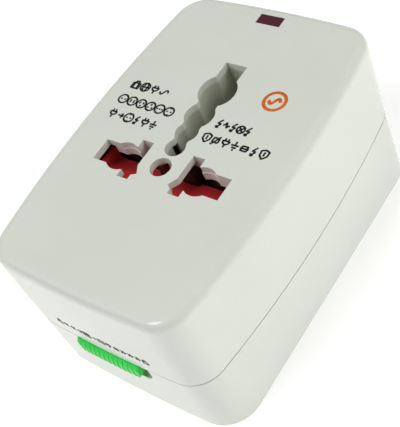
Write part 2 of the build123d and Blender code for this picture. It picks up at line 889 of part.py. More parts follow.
def indicator_lens():
    """The dark lens in the window, with a flange under the face."""
    lens = window_block(-running, (face_low - lens_flange_thickness, body_height - running))
    return lens + window_block(lens_flange, (face_low - lens_flange_thickness, face_low))


def guide_room():
    """What the guide leaves open round the right-hand live slot, beside the pins' own paths."""
    x = (us_slot_inner - guide_end_room, uk_slot_outer + guide_end_room)
    shape = flat_bar(x, (line_y - uk_slot_low, line_y + uk_slot_high), 0)
    shape += flat_bar((x[0], us_slot_outer), (line_y, line_y + us_slot_high), 0)
    shape += flat_bar((x[0], us_slot_outer + guide_end_room), (line_y - us_slot_low, line_y), 0)
    corner_y = (line_y, line_y + uk_slot_high + guide_corner_room)
    return shape + flat_bar((guide_corner_x, x[1]), corner_y, 0)


def guide_plate():
    """The inner moulding under the face that lines up the pins."""
    y = (spring_wall_y - core_wall, core_end_y)
    guide = block(about(0, core_half), y, (guide_low, face_low))
    for x, place in screw_places:
        guide -= upright(x, place, (guide_low, face_low), boss_radius + fit)
    guide -= through(earth_slot(well_wall + fit), (guide_low, face_low))
    guide -= both_sides(through(guide_room(), (guide_low, face_low)))
    guide -= through(centre_hole(guide_corner_room), (guide_low, face_low))
    return guide - face_openings(-guide_inset, (guide_low, face_low))


def earth_well():
    """The deep lining of the earth slot, with two windows and a square hole in its floor."""
    well = through(earth_slot(well_wall), (back_top, face_low))
    well -= through(earth_slot(0), (body_height - well_floor_depth, face_low))
    window_x = (third_waist - well_wall, last_lobe_radius + 2 * well_wall)
    window_z = (face_low - well_window_height, face_low)
    well -= both_sides(block(window_x, (well_window_low, well_window_high), window_z))
    cup_inside = earth_cup()[0]
    well -= Pos(0, 0, joint_height - earth_cup_low()) * cup_inside
    hole_z = (joint_height, face_low)
    return well - block(about(0, test_hole_half), about(last_lobe_y, test_hole_half), hole_z)


def socket_core():
    """The block under the shutter: a well for each live contact, and a collar round the earth well."""
    start_y = shutter_start_y - core_wall
    core = block(about(0, core_half), (start_y, core_end_y), (back_top, core_top))
    shelf_y = (spring_wall_y - core_wall, start_y)
    core += block(about(0, core_half), shelf_y, (core_top - core_shelf, core_top))
    wall_y = (spring_wall_y - core_wall, spring_wall_y)
    core += block(about(0, core_half), wall_y, (back_top, shutter_top))
    rail_y = (spring_wall_y - core_wall, core_end_y)
    core += both_sides(block((shutter_half + stow_gap, core_half), rail_y, (core_top, guide_low)))
    peg_y = (spring_wall_y, spring_wall_y + spring_peg)
    for x in (-spring_x, spring_x):
        core += along(x, peg_y, spring_height(), spring_radius - spring_wire - spring_peg_gap)
    well_y = (line_y - well_low, line_y + well_high)
    core -= both_sides(block((well_inner, well_outer), well_y, (back_top, core_top)))
    core += block(about(0, well_inner), (collar_start_y, core_end_y), (core_top, guide_low))
    core -= through(earth_slot(well_wall + fit), (back_top, guide_low))
    core -= through(centre_hole(-guide_inset), (back_top + core_shelf, core_top))
    for x, y in screw_places:
        core -= upright(x, y, (back_top, body_height), boss_radius + fit)
    lug_y = about(link_y, lug_width / 2 + fit)
    rivet_z = (back_top, back_top + lug_thickness + rivet_height + fit)
    core -= both_sides(block((well_outer, core_half), lug_y, (back_top, back_top + lug_thickness + fit)))
    core -= both_sides(upright(link_x, link_y, rivet_z, rivet_radius + fit))
    lead_x = about(lead_place(), busbar_width / 2 + fit)
    lead_y = (line_y, core_end_y)
    return core - both_sides(block(lead_x, lead_y, (back_top, back_top + lug_thickness + fit)))


def lead_place():
    """Where the strip runs that feeds the surge circuit, beside the well of the contact."""
    return well_outer - busbar_width / 2 - 2 * contact_thickness


def contact():
    """The right-hand live contact: a clip of four leaves with a lug and a long lead."""
    x = (well_inner + contact_thickness / 2, well_outer - running)
    low_y = line_y - contact_low - contact_thickness
    high_y = line_y + contact_high + contact_thickness
    floor_z = (back_top, back_top + lug_thickness)
    leaf_z = (back_top, back_top + contact_height)
    clip = block(x, (low_y, high_y), floor_z)
    leaf_x = (us_pin_x + us_blade_thickness / 2 + stow_gap, x[1])
    clip += block(leaf_x, (low_y, low_y + contact_thickness), leaf_z)
    clip += block(leaf_x, (high_y - contact_thickness, high_y), leaf_z)
    clip += block((x[1] - contact_thickness, x[1]), (low_y, high_y), leaf_z)
    clip += block((x[0], x[0] + contact_thickness), (low_y, high_y), leaf_z)
    clip += block((x[1] - contact_thickness, link_x), about(link_y, lug_width / 2), floor_z)
    clip += upright(link_x, link_y, floor_z, lug_width / 2)
    clip -= upright(link_x, link_y, floor_z, link_radius + running)
    clip -= upright(eu_pin_x, line_y, floor_z, eu_pin_radius + slide_gap)
    lead_x = about(lead_place(), busbar_width / 2)
    clip += block(lead_x, (high_y - contact_thickness, lead_end_y()), floor_z)
    riser_z = (back_top, board_height)
    return clip + block(lead_x, (lead_end_y() - lug_thickness, lead_end_y()), riser_z)


def lead_end_y():
    """Where the lead of a contact rises to the underside of the board."""
    return board_start_y + lug_thickness + board_post_radius / 2


def link_post():
    """The right-hand brass post that plugs into the other half, riveted over its lug."""
    low = joint_height - link_reach
    post = upright(link_x, link_y, (low, back_top + lug_thickness), link_radius)
    post = chamfer(post.faces().sort_by(Axis.Z)[0].edges(), link_radius / 4)
    head = (back_top + lug_thickness, back_top + lug_thickness + rivet_height)
    return post + upright(link_x, link_y, head, rivet_radius)


def back_plate():
    """The plate that closes the socket half, with the two hooks of the lock."""
    plate = shell_room(wall + fit, (joint_height, back_top))
    hook_top = plate_low - slide_gap
    hook = block(about(hook_x, hook_width / 2), about(hook_y, hook_shank / 2), (hook_top, joint_height))
    head_z = (hook_top - hook_head_height, hook_top)
    hook += block(about(hook_x, hook_width / 2), about(hook_y, hook_head / 2), head_z)
    plate += both_sides(hook)
    for x in (-board_post_x, board_post_x):
        plate += upright(x, board_post_y, (back_top, board_height), board_post_radius)
    cup_inside = earth_cup()[0]
    plate -= Pos(0, 0, joint_height - earth_cup_low()) * cup_inside
    test_hole = block(about(0, test_hole_half), about(last_lobe_y, test_hole_half), (0, back_top))
    plate -= test_hole
    for x in (-link_x, link_x):
        plate -= upright(x, link_y, (joint_height, back_top), link_radius + fit)
    for x in (-eu_pin_x, eu_pin_x):
        plate -= upright(x, line_y, (back_top - pin_dimple, back_top), eu_pin_radius + slide_gap)
    for x, y in screw_places:
        plate -= screw_hole(x, y, joint_height, -1)
    return plate


def shutter():
    """The red shutter under the live slots: a ramp that the pins push it back by, notched for the collar."""
    plate = block(about(0, shutter_half), (shutter_start_y, shutter_end_y), (shutter_low, shutter_top))
    ramp = make_face(Polyline(
        (ramp_start_y, shutter_top),
        (shutter_end_y, shutter_top - ramp_drop),
        (core_end_y, shutter_top - ramp_drop),
        (core_end_y, guide_low),
        (ramp_start_y, guide_low),
        close=True,
    ))
    reach = shutter_half - core_wall
    plate -= extrude(Plane.YZ.offset(-reach) * ramp, 2 * reach)
    notch_y = (collar_start_y - slide_gap, shutter_end_y)
    plate -= block(about(0, well_inner + slide_gap), notch_y, (shutter_low, shutter_top))
    peg_y = (shutter_start_y - spring_peg, shutter_start_y)
    for x in (-spring_x, spring_x):
        plate += along(x, peg_y, spring_height(), spring_radius - spring_wire - spring_peg_gap)
    return plate


def spring_height():
    """The height of the axes of the shutter springs."""
    return (core_top + shutter_top) / 2


def shutter_spring():
    """The right-hand return spring of the shutter, as a plain tube of its outer size."""
    y = (spring_wall_y, shutter_start_y)
    spring = along(spring_x, y, spring_height(), spring_radius)
    return spring - along(spring_x, y, spring_height(), spring_radius - spring_wire)


def board_top():
    """The upper face of the circuit board."""
    return board_height + board_thickness


def circuit_board():
    """The board of the surge circuit, standing on two posts of the back plate."""
    y = (board_start_y, board_end_y)
    board = block(about(0, board_half), y, (board_height, board_top()))
    for x, place in screw_places:
        board -= upright(x, place, (back_top, face_low), boss_radius + fit)
    return board


def surge_disc():
    """The disc that takes the surge, on two legs in the board."""
    height = board_top() + disc_radius + lug_thickness
    disc = along(disc_x, about(disc_y, disc_thickness / 2), height, disc_radius)
    for x in about(disc_x, disc_radius / 2):
        disc += upright(x, disc_y, (board_top(), height), leg_radius)
    return disc


def resistor():
    """The resistor of the indicator lamp, lying on the board."""
    height = board_top() + resistor_radius
    x = about(resistor_x, resistor_length / 2)
    body = across(x, resistor_y, height, resistor_radius)
    for end, sign in zip(x, (-1, 1)):
        leg_x = sorted((end, end + sign * 2 * leg_radius))
        body += block(leg_x, about(resistor_y, leg_radius), (board_top(), height))
    return body


def indicator_lamp():
    """The small lamp that stands under the window."""
    top = face_low - lens_flange_thickness - lamp_gap
    y = half_length - window_inset
    lamp = upright(0, y, (board_top(), top), lamp_radius)
    return fillet(lamp.faces().sort_by(Axis.Z)[-1].edges(), lamp_radius / 2)


parts = {
    "plug_case": plug_case(),
    "pin_cradle": pin_cradle(),
    "plug_deck": plug_deck(),
    "deck_screws": Compound(deck_screws()),
    "line_sleeve": link_sleeve(),
    "neutral_sleeve": other_side(link_sleeve()),
    "line_busbar": busbar(),
    "neutral_busbar": other_side(busbar() + sleeve_branch(busbar_x)),
    "fuse_body": fuse_body(),
    "fuse_caps": Compound(fuse_caps()),
    "fuse_clip_near": fuse_clip_near(),
    "fuse_clip_far": fuse_clip_far(),
    "uk_pin_axle": uk_axle(),
    "earth_pin_axle": earth_axle(),
    "round_pin_axle_right": eu_axle(),
    "round_pin_axle_left": other_side(eu_axle()),
    "uk_pin_carrier": uk_carrier(),
    "uk_line_pin": uk_pin(),
    "uk_neutral_pin": other_side(uk_pin()),
    "uk_earth_pin": uk_earth_pin(),
    "flat_blade_yoke": us_yoke(),
    "flat_blade_right": us_blade(),
    "flat_blade_left": other_side(us_blade()),
    "round_pin_right": eu_pin(),
    "round_pin_hub_right": eu_hub(),
    "round_pin_left": other_side(eu_pin()),
    "round_pin_hub_left": other_side(eu_hub()),
    "lock_pad": lock_pad(),
    "lock_plate": lock_plate(),
    "socket_shell": socket_shell(),
    "indicator_lens": indicator_lens(),
    "pin_guide": guide_plate(),
    "earth_well": earth_well(),
    "socket_core": socket_core(),
    "line_contact": contact(),
    "neutral_contact": other_side(contact()),
    "line_link_post": link_post(),
    "neutral_link_post": other_side(link_post()),
    "back_plate": back_plate(),
    "back_screws": Compound(back_screws()),
    "shutter": shutter(),
    "shutter_spring_right": shutter_spring(),
    "shutter_spring_left": other_side(shutter_spring()),
    "circuit_board": circuit_board(),
    "surge_disc": surge_disc(),
    "resistor": resistor(),
    "indicator_lamp": indicator_lamp(),
}

os.makedirs("parts", exist_ok=True)
for name, shape in parts.items():
    export_step(shape, f"parts/{name}.step")
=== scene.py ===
# %% [markdown]
# # A universal travel plug adaptor
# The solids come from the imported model: a plug half with folding pins, and a socket half with a
# shuttered face. This script gives them their finishes, prints the small signs on the shell and
# sets up the studio. Every piece is in metres, in the same frame as the solids.

import json
from math import cos, pi, radians, sin, tau

import bmesh
import bpy
from mathutils import Matrix, Vector


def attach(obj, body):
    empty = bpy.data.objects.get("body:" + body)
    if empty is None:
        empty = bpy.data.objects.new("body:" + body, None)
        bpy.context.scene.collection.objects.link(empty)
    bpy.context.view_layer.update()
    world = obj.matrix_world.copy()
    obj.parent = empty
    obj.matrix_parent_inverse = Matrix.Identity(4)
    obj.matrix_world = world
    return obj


MM = 0.001
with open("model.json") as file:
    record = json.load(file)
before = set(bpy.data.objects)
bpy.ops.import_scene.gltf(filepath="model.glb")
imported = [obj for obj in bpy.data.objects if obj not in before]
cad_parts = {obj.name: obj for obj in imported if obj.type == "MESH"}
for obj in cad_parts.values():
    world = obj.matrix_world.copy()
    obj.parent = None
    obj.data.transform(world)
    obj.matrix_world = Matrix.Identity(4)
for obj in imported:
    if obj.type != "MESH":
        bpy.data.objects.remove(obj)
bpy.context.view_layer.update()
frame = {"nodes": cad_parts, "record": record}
print("pieces in the model:", len(frame["nodes"]))

# %% [markdown]
# ## Camera
# The adaptor was photographed from above one corner with a fairly long lens. The camera's direction,
# distance, roll and lens were solved from the outline and from the pin openings of the face, whose
# real sizes are known. A roll is applied about the view axis, because the photo is tilted.

# %% Place the camera
IMAGE_SIZE = (400, 427)
VIEW_AZIMUTH, VIEW_ELEVATION, VIEW_ROLL = 55.638, 48.213, -27.694
VIEW_DISTANCE = 169.542
VIEW_TARGET = Vector((7.795, -9.064, 28.73))
FOCAL_PIXELS = 954.527
SENSOR = 36.0


def view_axes(azimuth, elevation, roll):
    """The camera's right, up and backward directions."""
    az, el, turn = radians(azimuth), radians(elevation), radians(roll)
    back = Vector((sin(az) * cos(el), -cos(az) * cos(el), sin(el)))
    right = (-back).cross(Vector((0, 0, 1))).normalized()
    up = right.cross(-back)
    return cos(turn) * right + sin(turn) * up, cos(turn) * up - sin(turn) * right, back


right, up, back = view_axes(VIEW_AZIMUTH, VIEW_ELEVATION, VIEW_ROLL)
camera = bpy.data.objects.new("camera", bpy.data.cameras.new("camera"))
place = Matrix((right, up, back)).transposed().to_4x4()
place.translation = (VIEW_TARGET + back * VIEW_DISTANCE) * MM
camera.matrix_world = place
camera.data.sensor_fit = "AUTO"
camera.data.sensor_width = SENSOR
camera.data.lens = FOCAL_PIXELS * SENSOR / max(IMAGE_SIZE)
camera.data.clip_start = MM
bpy.context.scene.collection.objects.link(camera)
bpy.context.scene.camera = camera
print("lens:", round(camera.data.lens, 2), "mm")

# %% [markdown]
# ## Shader expressions
# A pattern on a surface is a formula on the place of each point. Wrapping a socket in a small class
# lets the formula be written as plain arithmetic, also with the number first, and each operation
# adds its Math node. Any other node comes from one method, which sets, links and returns an output.


# %% Arithmetic on sockets
class Value:
    """A number socket that can be used in arithmetic."""

    def __init__(self, paint, socket):
        self.paint, self.socket = paint, socket

    def _math(self, operation, first, second=None):
        links = {0: first} if second is None else {0: first, 1: second}
        return Value(self.paint, self.paint.node("ShaderNodeMath", {"operation": operation}, links))

    def __add__(self, other):
        return self._math("ADD", self, other)

    __radd__ = __add__

    def __sub__(self, other):
        return self._math("SUBTRACT", self, other)

    def __rsub__(self, other):
        return self._math("SUBTRACT", other, self)

    def __mul__(self, other):
        return self._math("MULTIPLY", self, other)

    __rmul__ = __mul__

    def sine(self):
        return self._math("SINE", self)

    def clamped(self):
        return self._math("MINIMUM", self._math("MAXIMUM", self, 0.0), 1.0)


class Paint:
    """One material: its shader, its point on the object, and one way to add any node."""

    def __init__(self, name, **constants):
        self.material = bpy.data.materials.new(name)
        self.material.use_nodes = True
        self.tree = self.material.node_tree
        self.shader = self.tree.nodes["Principled BSDF"]
        self.point = self.node("ShaderNodeTexCoord", {}, {}, "Object")
        for socket, value in constants.items():
            self.shader.inputs[socket.replace("_", " ")].default_value = value

    def node(self, kind, settings, links, output=0):
        """Adds a node, gives it its settings, then its values and links, and returns an output."""
        node = self.tree.nodes.new(kind)
        for name, value in settings.items():
            setattr(node, name, value)
        for name, value in links.items():
            self.fill(node.inputs[name], value)
        return node.outputs[output]

    def fill(self, socket, value):
        """Gives a socket a value, or a link where the value is a socket too."""
        if isinstance(value, Value):
            value = value.socket
        if isinstance(value, bpy.types.NodeSocket):
            self.tree.links.new(value, socket)
        else:
            socket.default_value = value

    def feed(self, name, source):
        """Links a value or colour to an input of the shader."""
        self.fill(self.shader.inputs[name], source)

    def axes(self):
        """The X, Y and Z of the point, in metres."""
        split = self.node("ShaderNodeSeparateXYZ", {}, {"Vector": self.point}).node
        return [Value(self, split.outputs[axis]) for axis in "XYZ"]

    def noise(self, scale, detail=2.0, roughness=0.5, stretch=(1, 1, 1)):
        """Smooth noise from 0 to 1; stretch squeezes it along an axis."""
        spot = self.node("ShaderNodeMapping", {}, {"Vector": self.point, "Scale": stretch})
        links = {"Vector": spot, "Scale": scale, "Detail": detail, "Roughness": roughness}
        return Value(self, self.node("ShaderNodeTexNoise", {}, links, "Fac"))

    def mix(self, factor, low, high):
        """A colour between two colours."""
        settings = {"data_type": "RGBA", "clamp_factor": True}
        node = self.node("ShaderNodeMix", settings, {}, "Result").node
        for name, value in {"Factor": factor, "A": low, "B": high}.items():
            self.fill(next(s for s in node.inputs if s.name == name and s.enabled), value)
        return next(s for s in node.outputs if s.enabled)

    def bump(self, height, depth):
        """Turns a height from 0 to 1 into a bumped normal; depth is in metres."""
        links = {"Height": height, "Distance": depth}
        self.feed("Normal", self.node("ShaderNodeBump", {}, links, "Normal"))


def rgb(red, green, blue):
    """A colour with full opacity."""
    return (red, green, blue, 1.0)


def shaded(colour, share):
    """The same colour, darker for a share under 1 and lighter over it."""
    return rgb(*(channel * share for channel in colour[:3]))


print("shader expressions ready")

# %% [markdown]
# ## Moulded plastic
# The shells, the inner mouldings and the pins' plastic are all injection moulded. Such a surface is
# matt because the mould was spark eroded: a grain well under a millimetre. It also has faint
# clouds of colour where the plastic flowed. One function makes every such plastic, with its own
# colour, gloss and grain. A coat stands for the denser skin of the glossier ones, such as the shell.

# %% Plastics
GRAIN_SIZE, SPECK_SIZE, CLOUD_SIZE = 0.35 * MM, 1.4 * MM, 14 * MM
CLOUD_CONTRAST, SPECK_CONTRAST = 1.6, 0.5
CLOUD_DULLNESS, SPECK_DULLNESS = 0.12, 0.1


def moulded(name, colour, gloss, grain=4e-6, cloud=0.06, coat=0.0, **constants):
    """Injection moulded plastic: fine grain in metres, faint clouds, a little uneven gloss."""
    paint = Paint(name, **constants)
    clouds = paint.noise(1 / CLOUD_SIZE, detail=3.0)
    specks = paint.noise(1 / SPECK_SIZE)
    shade = ((clouds - 0.5) * CLOUD_CONTRAST + (specks - 0.5) * SPECK_CONTRAST + 0.5).clamped()
    paint.feed("Base Color", paint.mix(shade, shaded(colour, 1 - cloud), shaded(colour, 1 + cloud / 2)))
    dull = (clouds - 0.5) * CLOUD_DULLNESS + (specks - 0.5) * SPECK_DULLNESS
    paint.feed("Roughness", (1 - gloss) + dull)
    paint.bump(paint.noise(1 / GRAIN_SIZE, detail=3.0, roughness=0.6), grain)
    paint.shader.inputs["Coat Weight"].default_value = coat
    return paint.material


finishes = {
    "shell_white": moulded("shell_plastic", rgb(0.66, 0.685, 0.61), 0.52, cloud=0.03, coat=0.8,
                           Coat_Roughness=0.14),
    "inner_white": moulded("inner_plastic", rgb(0.62, 0.58, 0.55), 0.5, grain=3e-6),
    "well_grey": moulded("well_plastic", rgb(0.48, 0.49, 0.40), 0.45, grain=3e-6),
    # The core is dark plastic, and its red-brown tint is painted shade: it stands for the red shutter in
    # shadow below the guide.
    "core_black": moulded("core_plastic_painted_shade", rgb(0.032, 0.014, 0.013), 0.5, grain=3e-6, cloud=0.2),
    "pad_green": moulded("pad_plastic", rgb(0.03, 0.70, 0.082), 0.5, grain=3e-6, cloud=0.1, coat=0.15),
    "shutter_red": moulded("shutter_plastic", rgb(0.72, 0.042, 0.046), 0.55, grain=2e-6, cloud=0.1),
    "lens_maroon": moulded("lens_plastic", rgb(0.075, 0.008, 0.016), 0.82, grain=1e-6, cloud=0.2, coat=0.5),
    "pin_black": moulded("pin_plastic", rgb(0.022, 0.022, 0.024), 0.55, grain=3e-6, cloud=0.2),
    "fuse_ceramic": moulded("fuse_glaze", rgb(0.78, 0.75, 0.66), 0.7, grain=2e-6, coat=0.4),
    "disc_blue": moulded("disc_lacquer", rgb(0.03, 0.09, 0.38), 0.65, grain=6e-6, cloud=0.15, coat=0.3),
    "resistor_tan": moulded("resistor_lacquer", rgb(0.52, 0.38, 0.2), 0.6, grain=3e-6, cloud=0.1),
}
print("plastics:", len(finishes))

# %% [markdown]
# ## Metals
# The pins are plated brass, drawn and then tumbled, so their scratches are short and mostly run
# along the pin. Contacts are bare rolled brass with long rolling lines, and the axles and screws
# are zinc plated steel. All are a base colour on full metal, with stretched noise for the lines.

# %% Metals
LINE_SIZE, LINE_STRETCH, LINE_DEPTH, LINE_DULLNESS = 0.12 * MM, 0.06, 1.5e-6, 0.25
STAIN_SIZE, STAIN_START, STAIN_CONTRAST, STAIN_SHADE, STAIN_DULLNESS = 5 * MM, 0.45, 3, 0.62, 0.3


def metal(name, colour, gloss, along, tarnish):
    """Bare or plated metal with fine lines along one axis and a little tarnish."""
    paint = Paint(name, Metallic=1.0)
    stretch = tuple(LINE_STRETCH if axis == along else 1.0 for axis in "XYZ")
    lines = paint.noise(1 / LINE_SIZE, stretch=stretch)
    stain = paint.noise(1 / STAIN_SIZE, detail=4.0, roughness=0.6)
    patch = ((stain - STAIN_START) * STAIN_CONTRAST).clamped() * tarnish
    paint.feed("Base Color", paint.mix(patch, colour, shaded(colour, STAIN_SHADE)))
    paint.feed("Roughness", (1 - gloss) + (lines - 0.5) * LINE_DULLNESS + patch * STAIN_DULLNESS)
    paint.bump(lines, LINE_DEPTH)
    return paint.material


finishes["plated_brass"] = metal("pin_plating", rgb(0.74, 0.72, 0.66), 0.76, "Y", 0.25)
finishes["brass"] = metal("contact_brass", rgb(0.80, 0.58, 0.25), 0.68, "Y", 0.5)
finishes["steel"] = metal("zinc_steel", rgb(0.60, 0.61, 0.62), 0.66, "X", 0.4)
print("plastics and metals:", len(finishes))

# %% [markdown]
# ## Board and lamp
# The circuit board is a woven glass laminate under green lacquer, so its weave shows as a faint
# square pattern. The lamp is a small clear bulb; its glass lets the board show through.

# %% Board lacquer and lamp glass
WEAVE_SIZE, WEAVE_DEPTH = 0.5 * MM, 8e-6
BLOT_SIZE, BOARD_SHADE, BOARD_DULLNESS = 3 * MM, 0.7, 0.15
WAVE_SIZE, WAVE_DEPTH, WAVE_DULLNESS = 1.5 * MM, 1e-5, 0.08


def laminate(name, colour):
    """Lacquered board with a faint weave."""
    paint = Paint(name, Coat_Weight=0.4)
    x, y, _ = paint.axes()
    turns = tau / WEAVE_SIZE
    weave = ((x * turns).sine() * (y * turns).sine() + 1) * 0.5
    blots = paint.noise(1 / BLOT_SIZE, detail=3.0)
    shade = weave * 0.5 + blots * 0.5
    paint.feed("Base Color", paint.mix(shade, shaded(colour, BOARD_SHADE), colour))
    paint.feed("Roughness", 0.38 + (blots - 0.5) * BOARD_DULLNESS)
    paint.bump(weave, WEAVE_DEPTH)
    return paint.material


def bulb_glass(name, tint):
    """Clear, slightly tinted glass with faint waves."""
    paint = Paint(name, Transmission_Weight=0.85, IOR=1.46)
    waves = paint.noise(1 / WAVE_SIZE)
    paint.feed("Base Color", paint.mix(waves, tint, rgb(1.0, 0.9, 0.84)))
    paint.feed("Roughness", 0.06 + waves * WAVE_DULLNESS)
    paint.bump(waves, WAVE_DEPTH)
    return paint.material


finishes["board_green"] = laminate("board_lacquer", rgb(0.02, 0.17, 0.06))
finishes["lamp_glass"] = bulb_glass("bulb_glass", rgb(1.0, 0.72, 0.6))
print("finishes:", len(finishes))

# %% [markdown]
# ## Finishes onto the solids
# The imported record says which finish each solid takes, so the solids are dressed by reading it. A
# table of names in this script would do as well, but it could fall out of step with the model.

# %% Dress the solids
for entry in frame["record"]["subparts"]:
    solid = frame["nodes"][entry["node"]]
    solid.data.materials.clear()
    solid.data.materials.append(finishes[entry["material_slot"]])

# %% [markdown]
# ## Printed signs
# The real shell is pad printed: a thin skin of ink in lines less than half a millimetre wide. Here
# the rows hold generic signs: the faces of common sockets, a few circuit signs, and the two states
# of the lock above the slider. Each sign is drawn as strokes in a square from -1 to 1, because lines
# are easier to write and change than outlines.

# %% Strokes
def ring(radius, centre=(0, 0), start=0.0, end=tau, count=24):
    """Points along a circle or an arc of one."""
    turns = [start + (end - start) * step / count for step in range(count + 1)]
    return [(centre[0] + radius * cos(turn), centre[1] + radius * sin(turn)) for turn in turns]


def bar(x, y, length, turn=90):
    """A straight stroke about a point, upright unless turned."""
    reach_x, reach_y = length / 2 * cos(radians(turn)), length / 2 * sin(radians(turn))
    return [(x - reach_x, y - reach_y), (x + reach_x, y + reach_y)]


def frame_line(x, y):
    """A rectangle between two values of x and of y, drawn from the middle of its left side."""
    middle = (x[0], (y[0] + y[1]) / 2)
    return [middle, (x[0], y[1]), (x[1], y[1]), (x[1], y[0]), (x[0], y[0]), middle]


def wave(width, height, count=24):
    """One period of a sine line."""
    steps = [2 * step / count - 1 for step in range(count + 1)]
    return [(width * step, height * sin(pi * step)) for step in steps]


print("a ring has", len(ring(1)), "points")

# %% [markdown]
# ## The signs
# A sign is a list of strokes. The socket faces are circles with that socket's openings in them. A
# suitcase, a globe and a plug say travel, and the circuit signs are those of any wiring diagram.

# %% Signs
PIN = 0.34
SHACKLE = ring(0.45, (0, 0.4), 0, pi, 12) + [(-0.45, 0.1)]
SIGNS = {
    "round_pins": [ring(1), bar(-0.4, 0, PIN), bar(0.4, 0, PIN)],
    "flat_pins": [ring(1), bar(-0.38, 0, 0.72), bar(0.38, 0, 0.72)],
    "slanted_pins": [ring(1), bar(-0.42, 0.2, 0.55, 60), bar(0.42, 0.2, 0.55, 120), bar(0, -0.5, 0.4)],
    "square_pins": [ring(1), bar(0, 0.42, 0.5), bar(-0.45, -0.3, 0.42, 0), bar(0.45, -0.3, 0.42, 0)],
    "row_of_pins": [ring(1), bar(-0.55, 0, PIN), bar(0, 0, PIN), bar(0.55, 0, PIN)],
    "side_clips": [ring(1), bar(-0.4, 0, PIN), bar(0.4, 0, PIN), bar(0, 0.8, 0.4), bar(0, -0.8, 0.4)],
    "suitcase": [frame_line((-0.85, 0.85), (-0.85, 0.45)), bar(-0.45, -0.2, 1.3), bar(0.45, -0.2, 1.3),
                 [(-0.35, 0.45), (-0.35, 0.9), (0.35, 0.9), (0.35, 0.45)]],
    "globe": [ring(1), [(0.45 * x, y) for x, y in ring(1)], bar(0, 0, 2, 0)],
    "plug": [bar(-0.32, 0.75, 0.6), bar(0.32, 0.75, 0.6), bar(0, -0.65, 0.7),
             [(0.7, 0.45), (-0.7, 0.45)] + ring(0.7, (0, 0.4), pi, tau, 12) + [(0.7, 0.45)]],
    "onward": [bar(0, 0, 1.2, 0), [(0.1, 0.5), (0.6, 0), (0.1, -0.5)]],
    "earth": [bar(0, 0.55, 0.9), bar(0, 0.1, 1.6, 0), bar(0, -0.42, 1.0, 0), bar(0, -0.92, 0.4, 0)],
    "fuse": [frame_line((-0.6, 0.6), (-0.5, 0.5)), bar(0, 0, 1.8, 0)],
    "varistor": [frame_line((-0.6, 0.6), (-0.5, 0.5)), [(-0.8, -0.95), (-0.5, -0.95), (0.65, 0.95)]],
    "lamp": [ring(0.8), bar(0, 0, 1.5, 45), bar(0, 0, 1.5, 135)],
    "wave": [wave(0.95, 0.55)],
    "spike": [[(-0.75, 0), (-0.4, 0), (-0.15, 1), (0.2, -0.9), (0.4, 0), (0.75, 0)]],
    "shield": [[(0, 1), (-0.8, 0.7), (-0.72, -0.3), (0, -1), (0.72, -0.3), (0.8, 0.7), (0, 1)],
               bar(0, 0.1, 0.9)],
    "bolt": [[(0.3, 1), (-0.45, -0.05), (0.4, 0.1), (-0.3, -1)], [(-0.4, -0.45), (-0.3, -1), (0.2, -0.75)]],
    "left": [[(x + 0.35, 0.8), (x - 0.35, 0), (x + 0.35, -0.8)] for x in (-0.4, 0.4)],
    "right": [[(x - 0.35, 0.8), (x + 0.35, 0), (x - 0.35, -0.8)] for x in (-0.4, 0.4)],
    "locked": [frame_line((-0.75, 0.75), (-0.95, 0.1)), [(0.45, 0.1)] + SHACKLE],
    "unlocked": [frame_line((-0.75, 0.75), (-0.95, 0.1)), SHACKLE],
    "joined": [frame_line((-1.0, 1.0), (-0.8, 0.8)), bar(0, 0, 1.9, 0)],
    "parted": [frame_line((-1.0, 1.0), (-0.95, -0.25)), frame_line((-1.0, 1.0), (0.25, 0.95))],
}
print("signs:", ", ".join(SIGNS))

# %% [markdown]
# ## Rows of signs
# The print lies in short rows, as on the real adaptor: three rows left of the earth slot, two
# right of it, one orange ring behind them and one row on the end wall over the slider. Every row
# gives the places of its first and last sign and its height on the shell, in millimetres, and then
# its signs.

# %% Rows
FACE_HALF, END_HALF = 1.02, 0.75
FACE_ROWS = [
    (-17.4, -10.4, 9.0, ["suitcase", "globe", "plug", "wave"]),
    (-17.8, -6.4, 5.1,
     ["round_pins", "flat_pins", "slanted_pins", "square_pins", "row_of_pins", "side_clips"]),
    (-17.6, -7.6, 1.3, ["plug", "onward", "side_clips", "bolt", "plug", "earth"]),
    (5.0, 11.3, 5.7, ["bolt", "spike", "bolt", "lamp", "bolt"]),
    (4.5, 16.9, 2.1, ["shield", "varistor", "plug", "earth", "fuse", "bolt", "shield"]),
]
END_ROWS = [
    (-10.6, -5.2, 20.1, ["unlocked", "left", "left", "left"]),
    (-3.6, 3.6, 20.1, ["parted", "onward", "joined", "plug", "fuse"]),
    (5.2, 10.2, 20.1, ["right", "right", "right", "locked"]),
]
RING_PLACE, RING_RADIUS, RING_WAVE = (12.2, 13.5), 2.1, (1.2, 0.7)


def row_strokes(rows, half):
    """The strokes of every sign in some rows, on the flat sheet."""
    strokes = []
    for first, last, height, names in rows:
        pitch = (last - first) / (len(names) - 1)
        for place, name in enumerate(names):
            middle = first + pitch * place
            for stroke in SIGNS[name]:
                strokes.append([(middle + half * x, height + half * y) for x, y in stroke])
    return strokes


print("rows:", len(FACE_ROWS), "on the face and", len(END_ROWS), "on the end wall")

# %% [markdown]
# ## Ink
# Geometry Nodes turn the strokes into ink. The edges become curves with slightly rounded corners,
# a flat profile is drawn along them, and each point of the ink is then thrown onto the shell by a
# ray, so that the end row follows the bowed wall. The sizes are inputs of the tree, so a thicker
# or bolder print is one number away.

# %% The ink tree
INK_INPUTS = [
    ("Line width", "NodeSocketFloat"), ("Ink height", "NodeSocketFloat"),
    ("Corner radius", "NodeSocketFloat"), ("Turn", "NodeSocketVector"),
    ("Direction", "NodeSocketVector"), ("Shell", "NodeSocketObject"), ("Ink", "NodeSocketMaterial"),
]
RAY_START = 0.1
CORNER_POINTS = 3


